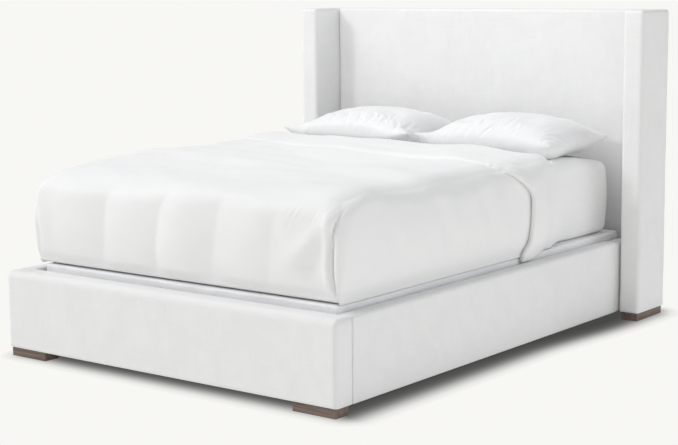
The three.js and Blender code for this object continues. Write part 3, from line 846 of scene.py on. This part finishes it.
def fold_rows(across, outward, unit):
    """The band's outline: rows of (y, height over the duvet, share of the duvet's swell).

    They run from the front edge back over the upper side and forwards again along the underside.
    """
    front_y, rear_y, ruffle = fold_edges(across)
    front, rear = fold_thickness(across, outward)
    roll = front * (1 + 0.2 * ruffle)
    butt = DUVET_HIGH[1] + 2 * MM
    up = np.clip(outward[:, 2], 0, 1)
    lip = roll * (0.5 - 0.75 * up)
    reach = roll * (0.5 + 3.5 * up)
    upper, under = [], []
    for turn in np.linspace(0, math.pi / 2, 8):
        y = front_y + reach * (1 - math.cos(turn))
        upper.append((y, FOLD_GAP + lip + (roll - lip) * math.sin(turn) ** (1 + up), 1.0))
        under.append((y, FOLD_GAP + lip * (1 - math.sin(turn)), 1.0))
    for part in np.linspace(0, 1, 12)[1:]:
        y = front_y + reach + (butt - front_y - reach) * part
        thick = FOLD_GAP + front + (roll - front) * (1 - part) ** 3 + 0.5 * (rear - front) * part
        upper.append((y, thick, 1.0))
        under.append((y, np.full(len(y), FOLD_GAP), 1.0))
    shoulder = 2 * np.abs(outward[:, 0] * outward[:, 2])
    lining = -20 * MM - 16 * MM * smooth_step(unit[:, 2], 0.05, 0.2) + 16 * MM * shoulder
    for part in np.linspace(0, 1, 36):
        y = butt + FOLD_GAP + (rear_y - butt - FOLD_GAP) * part
        thick = FOLD_GAP + front + 0.5 * (rear - front) * (1 + part)
        thick = thick - (thick + FOLD_THIN_END) * smooth_step(part, 0, 1) * (1 - up)
        closing = math.sqrt(1 - max(0.0, (part - 0.92) / 0.0805) ** 2)
        upper.append((y, lining + (thick - lining) * closing, 1.0))
        under.append((y, lining, 0.0))
    return upper + under[::-1]


def sweep_over_duvet(rows, across, outward, height):
    """Lays each row of an outline over the duvet from hem to hem."""
    hem = hem_share(height)
    points = []
    for y, rise, share in rows:
        base = np.column_stack([across[:, 0], y, across[:, 2]])
        swell = duvet_swell(base, outward, height) * (1 - hem) * share
        points.append(base + outward * (rise + swell)[:, None] + hem_shift(outward, hem))
    return np.concatenate(points)


def tube_faces(rows, columns):
    """The faces of a closed outline of so many rows swept over so many columns, with both ends shut."""
    index = np.arange(rows * columns).reshape(rows, columns)
    ring = np.concatenate([index, index[:1]])
    faces = [grid_faces(ring.T)]
    half = rows // 2
    for end, turn in ((0, 1), (columns - 1, -1)):
        near, far = index[:half, end], index[half:, end][::-1]
        cap = np.stack([near[:-1], near[1:], far[1:], far[:-1]], axis=1)
        faces.append(cap[:, ::turn])
    return np.concatenate(faces)


def make_turned_fold():
    """The duvet's head end, turned back over itself in a band that laps over the duvet."""
    unit, across, outward = across_duvet()
    rows = fold_rows(across, outward, unit)
    points = sweep_over_duvet(rows, across, outward, unit[:, 2])
    upper = np.repeat(np.arange(len(rows)) < len(rows) / 2, len(across))
    fine = 1.4 * MM * ripples(points * np.array([1.0, 2.0, 1.0]), 0.22, 96) * upper
    points += np.tile(outward, (len(rows), 1)) * fine[:, None]
    piece = build_mesh("duvet_fold", points, tube_faces(len(rows), len(across)), cotton)
    finish_piece(piece, ["duvet_turned_fold"], "mattress_set")


# ------------------------------------------------------------------------------ pillows

PILLOW_GRID = (110, 76)
PILLOW_TOP = 0.923
SEAM_HEIGHT = 6 * MM
EDGE_PULL = 0.06  # how far the sides pull in between the corners
SEAM_LIP = 0.985  # how far out the filled part reaches, with 1 at the seam itself
# How high the seam is lifted at each pillow's left end and at its right end.
END_LIFT = {"left": (56 * MM, 30 * MM), "right": (42 * MM, 40 * MM)}


def pillow_grid():
    """Two square layers sewn together round their edge: each point's u and v, and its side."""
    u, v = np.meshgrid(*(np.linspace(-1, 1, count + 1) for count in PILLOW_GRID), indexing="ij")
    inside = np.zeros(u.shape, dtype=bool)
    inside[1:-1, 1:-1] = True
    top = np.arange(u.size).reshape(u.shape)
    bottom = top.copy()
    bottom[inside] = u.size + np.arange(inside.sum())
    quads = grid_faces(top), grid_faces(bottom)[:, ::-1]
    side = np.concatenate([np.ones(u.size), -np.ones(inside.sum())])
    places = np.concatenate([u.ravel(), u[inside]]), np.concatenate([v.ravel(), v[inside]])
    return *places, side, np.concatenate(quads)


def pillow_rest(x, y):
    """The height of what the pillow lies on: the rear of the turned fold, then the sheet behind it."""
    fold_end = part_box("duvet_turned_fold")[1][1] - FOLD_REAR_CUT
    shoulder = 30 * MM * smooth_step(np.abs(x), 0.58, 0.72)
    fold_rear = DUVET_HIGH[2] + FOLD_LOFT - 22 * MM - shoulder
    behind = smooth_step(y, fold_end + 30 * MM, fold_end + 150 * MM)
    return fold_rear + (MATTRESS_HIGH[2] - fold_rear) * behind


def pillow_shape(u, v, side, box, end_lift):
    """A well-filled pillow: fuller at its right end, pulled in between its corners, tips lifted."""
    low, high = box
    middle = (low + high) / 2
    half = (high - low) / 2
    lip = np.where(np.maximum(np.abs(u), np.abs(v)) < 1, SEAM_LIP, 1.0)
    corner = lip * (1 - 0.05 * (u * v) ** 8 * (u > 0) * (v < 0))
    x = middle[0] + half[0] * u * (1 - EDGE_PULL * (1 - v**2) * u**2) * corner
    y = middle[1] + half[1] * v * (1 - EDGE_PULL * (1 - u**2) * v**2) * corner
    ends = np.where(u < 0, (1 - np.abs(u) ** 2.8) ** 0.75, (1 - np.abs(u) ** 4.2) ** 0.8)
    filling = ends * (1 - np.abs(v) ** 2.8) ** 0.52
    blunt = np.sqrt((1 - np.abs(u) ** 9) * (1 - np.abs(v) ** 7))
    rest = pillow_rest(x, y)
    lift = end_lift[0] * bump(u, -1, 0.22) + end_lift[1] * bump(u, 1, 0.3)
    seam_at = rest + SEAM_HEIGHT + lift + 26 * MM * smooth_step(v, -0.6, 0.2)
    upper = seam_at + (PILLOW_TOP - seam_at) * filling
    under = np.maximum(seam_at - 60 * MM * (blunt + filling) / 2, rest)
    return np.column_stack([x, y, np.where(side > 0, upper, under)])


def crumple(piece, frames, pressure, growth, limit):
    """Lets the cloth solver fill a piece whose cloth is a little too large, so that it wrinkles.

    No point ends further than limit from where it started.
    """
    start = np.array([vertex.co[:] for vertex in piece.data.vertices])
    modifier = piece.modifiers.new("fill", "CLOTH")
    settings = modifier.settings
    settings.quality = 6
    settings.mass = 0.2
    settings.tension_stiffness = 12
    settings.compression_stiffness = 12
    settings.shear_stiffness = 4
    settings.bending_stiffness = 0.15
    settings.shrink_min = -growth
    settings.use_pressure = True
    settings.uniform_pressure_force = pressure
    settings.effector_weights.gravity = 0.0
    modifier.collision_settings.use_self_collision = False
    scene = bpy.context.scene
    for number in range(1, frames + 1):
        scene.frame_set(number)
    evaluated = piece.evaluated_get(bpy.context.evaluated_depsgraph_get())
    move = np.array([vertex.co[:] for vertex in evaluated.data.vertices]) - start
    piece.modifiers.remove(modifier)
    scene.frame_set(1)
    length = np.linalg.norm(move, axis=1, keepdims=True)
    move *= np.tanh(length / limit) * limit / np.maximum(length, 1e-9)
    return start + move


def vertex_normals(piece):
    normals = np.empty(3 * len(piece.data.vertices))
    piece.data.vertex_normals.foreach_get("vector", normals)
    return normals.reshape(-1, 3)


def place_vertices(piece, points):
    piece.data.vertices.foreach_set("co", np.asarray(points).ravel())
    piece.data.update()


def pillow_creases(across, along, half, lean, seed):
    """Creases that run up from the front seam, and short puckers all round the seams."""
    rng = np.random.default_rng(seed)
    total = np.zeros(len(across))
    for _ in range(44):
        foot = rng.uniform(-0.95, 0.9) * half[0], -half[1] * rng.uniform(0.70, 1.0)
        length = rng.uniform(0.06, 0.20)
        tilt = lean + rng.uniform(-0.5, 0.5)
        head = foot[0] + length * math.sin(tilt), foot[1] + length * math.cos(tilt)
        width = rng.uniform(5, 9) * MM
        depth = rng.uniform(1.2, 4.6) * MM
        bow = rng.uniform(-8, 8) * MM
        total -= depth * crease(across, along, foot, head, width, bow)
        total += 0.6 * depth * crease(across - 1.6 * width, along, foot, head, width, bow)
    to_front = half[1] + along
    to_end = half[0] - np.abs(across)
    for gap, place in ((to_front, across), (to_end, along)):
        puckers = np.sin(place * 2 * math.pi / 0.021 + 2.0 * np.sin(place * 17.0 + seed))
        total += 0.9 * MM * puckers * bump(gap, 10 * MM, 16 * MM)
    return total


def make_pillow(side_name, sign):
    box = node_box(f"{side_name}_pillow")
    u, v, side, quads = pillow_grid()
    points = pillow_shape(u, v, side, box, END_LIFT[side_name])
    piece = build_mesh(f"{side_name}_pillow_case", points, quads, pillow_cotton)
    place_vertices(piece, crumple(piece, frames=14, pressure=2.0, growth=0.05, limit=8 * MM))
    half = (box[1] - box[0]) / 2
    seed = 100 + (sign > 0)
    creases = pillow_creases(u * half[0], v * half[1], half, 0.35 * sign, seed) * (side > 0)
    points = np.array([vertex.co[:] for vertex in piece.data.vertices])
    points += vertex_normals(piece) * creases[:, None]
    points[:, 2] = np.maximum(points[:, 2], pillow_rest(points[:, 0], points[:, 1]))
    place_vertices(piece, points)
    smoothing = piece.modifiers.new("smooth", "SUBSURF")
    smoothing.levels = 1
    smoothing.render_levels = 1
    finish_piece(piece, [f"{side_name}_pillow"], f"{side_name}_pillow_body")


def make_pillows():
    for side_name, sign in SIDES:
        make_pillow(side_name, sign)


# ------------------------------------------------------------------------------ studio

FLOOR_COLOR = (0.935, 0.93, 0.905)
# The painted shadow's span, by distance from the frame's outline, and its brightness through that span.
SHADOW_FROM = -0.08
SHADOW_TO = 0.14
SHADOW_STOPS = (
    (0.0, 0.07), (0.22, 0.1), (0.34, 0.15), (0.47, 0.28), (0.63, 0.57), (0.8, 0.86), (1.0, 1.0)
)
KEY_SIDE_PULL = 0.07  # how far the shadow draws in on the two sides that the key light comes from
WIDER_BY_HEAD = 0.06  # how much further the shadow reaches beside the head than beside the foot
WINGS_PULL = 0.07  # how far the shadow draws in beside the wings


def distance_to_rectangle(tree, place, low, high):
    """How far a place on the floor is from an upright rectangle, less than zero inside it."""
    middle = (low[0] + high[0]) / 2, (low[1] + high[1]) / 2, 0.0
    half = (high[0] - low[0]) / 2, (high[1] - low[1]) / 2, 0.0
    offset = add_math(tree, "SUBTRACT", place, middle, "VectorMath")
    size = add_node(tree, "VectorMath", {"operation": "ABSOLUTE"}, Vector=offset).outputs["Vector"]
    beyond = add_math(tree, "SUBTRACT", size, half, "VectorMath")
    over = add_math(tree, "MAXIMUM", beyond, (0, 0, 0), "VectorMath")
    outside = add_node(tree, "VectorMath", {"operation": "LENGTH"}, Vector=over).outputs["Value"]
    parts = add_node(tree, "SeparateXYZ", Vector=beyond).outputs
    deeper = add_math(tree, "MAXIMUM", parts["X"], parts["Y"])
    return add_math(tree, "ADD", outside, add_math(tree, "MINIMUM", deeper, 0.0))


def make_floor():
    """A wide pale floor that glows evenly, with the bed frame's soft contact shadow painted into its
    colour.
    """
    size = 400.0
    corners = [(-size, -size, 0), (size, -size, 0), (size, size, 0), (-size, size, 0)]
    material = bpy.data.materials.new("studio_floor")
    material.use_nodes = True
    tree = material.node_tree
    tree.nodes.remove(tree.nodes["Principled BSDF"])
    place = add_node(tree, "TexCoord").outputs["Object"]
    rail_low, rail_high = node_box("left_rail_cover")[0], node_box("right_rail_cover")[1]
    wing_low, wing_high = node_box("left_wing_cover")[0], node_box("right_wing_cover")[1]
    front = node_box("footboard_cover")[0][1]
    frame_low = rail_low[0] + KEY_SIDE_PULL, front + KEY_SIDE_PULL
    wings_low = wing_low[0] + KEY_SIDE_PULL, wing_low[1] + KEY_SIDE_PULL
    wings_high = wing_high[0] - WINGS_PULL, wing_high[1]
    to_frame = distance_to_rectangle(tree, place, frame_low, rail_high)
    to_wings = distance_to_rectangle(tree, place, wings_low, wings_high)
    along = add_node(tree, "SeparateXYZ", Vector=place).outputs["Y"]
    smooth = {"interpolation_type": "SMOOTHSTEP"}
    span = {"From_Min": 0.1, "From_Max": wing_low[1], "To_Min": 0.0, "To_Max": WIDER_BY_HEAD}
    widening = add_node(tree, "MapRange", smooth, Value=along, **span).outputs["Result"]
    to_frame = add_math(tree, "SUBTRACT", to_frame, widening)
    distance = add_math(tree, "MINIMUM", to_frame, to_wings)
    beyond = add_math(tree, "SUBTRACT", distance, SHADOW_FROM)
    part = add_math(tree, "DIVIDE", beyond, SHADOW_TO - SHADOW_FROM)
    stops = [(stop, tinted(FLOOR_COLOR, light)) for stop, light in SHADOW_STOPS]
    color = add_ramp(tree, part, stops)
    glow = add_node(tree, "Emission", Color=color, Strength=1.0)
    tree.links.new(glow.outputs["Emission"], tree.nodes["Material Output"].inputs["Surface"])
    material.cycles.emission_sampling = "NONE"
    build_mesh("studio_floor", corners, [(0, 1, 2, 3)], material)


def make_lights():
    world = bpy.data.worlds.new("studio")
    world.use_nodes = True
    background = world.node_tree.nodes["Background"]
    background.inputs["Color"].default_value = (0.97, 0.98, 1.0, 1.0)
    background.inputs["Strength"].default_value = 0.28
    bpy.context.scene.world = world
    add_sun("key_from_front_left", -31, 26, 0.50, 10)
    add_sun("broad_from_left", -70, 50, 1.40, 40)
    add_sun("fill_from_right", 120, 20, 0.60, 40, color=(0.95, 0.98, 1.0))
    add_sun("fill_from_front_right", 45, 15, 0.31, 40)
    add_sun("fill_from_front", 0, 20, 0.09, 40)
    add_softbox("softbox_over_head", (0.0, -0.4, 3.0), (0.0, 0.8, 0.9), 2.0, 14.1)
    add_softbox("softbox_front_left", (-2.6, -2.2, 2.4), (0.0, 0.6, 0.9), 1.5, 10.1)
    add_softbox("softbox_right", (3.6, -1.2, 0.5), (0.86, -0.6, 0.2), 1.0, 4.5)


def aim(lamp, travel):
    lamp.rotation_euler = Vector(travel).to_track_quat("-Z", "Y").to_euler()
    bpy.context.scene.collection.objects.link(lamp)


def add_sun(name, azimuth, elevation, strength, angle, color=(1.0, 1.0, 1.0)):
    """A far light. azimuth is 0 at the bed's foot and 90 on its right; elevation is above the floor."""
    light = bpy.data.lights.new(name, "SUN")
    light.energy = strength
    light.color = color
    light.angle = math.radians(angle)
    turn, rise = math.radians(azimuth), math.radians(elevation)
    source = math.sin(turn) * math.cos(rise), -math.cos(turn) * math.cos(rise), math.sin(rise)
    aim(bpy.data.objects.new(name, light), -Vector(source))


def add_softbox(name, place, target, size, power):
    light = bpy.data.lights.new(name, "AREA")
    light.shape = "SQUARE"
    light.size = size
    light.energy = power
    lamp = bpy.data.objects.new(name, light)
    lamp.location = place
    aim(lamp, Vector(target) - Vector(place))


CAMERA_PLACE = (4.2416, -5.5235, 1.5413)  # beyond the right foot corner, a little above the headboard
CAMERA_YAW = math.radians(37.68)
CAMERA_PITCH = math.radians(8.60)
CAMERA_ROLL = math.radians(-0.52)
CAMERA_LENS = 85.2


def make_camera():
    data = bpy.data.cameras.new("camera")
    data.lens = CAMERA_LENS
    data.sensor_width = 36.0
    data.clip_end = 1000.0
    camera = bpy.data.objects.new("camera", data)
    turn = Matrix.Rotation(CAMERA_YAW, 4, "Z") @ Matrix.Rotation(math.pi / 2 - CAMERA_PITCH, 4, "X")
    turn = turn @ Matrix.Rotation(CAMERA_ROLL, 4, "Z")
    camera.matrix_world = Matrix.Translation(CAMERA_PLACE) @ turn
    bpy.context.scene.collection.objects.link(camera)
    bpy.context.scene.camera = camera
    bpy.context.scene.view_settings.view_transform = "Standard"


make_camera()
make_lights()
make_floor()
repaint_frame_nodes()
make_headboard_panel()
make_dust_cover()
make_wings()
make_footboard()
make_rails()
make_deck()
make_mattress()
make_duvet()
make_turned_fold()
make_pillows()
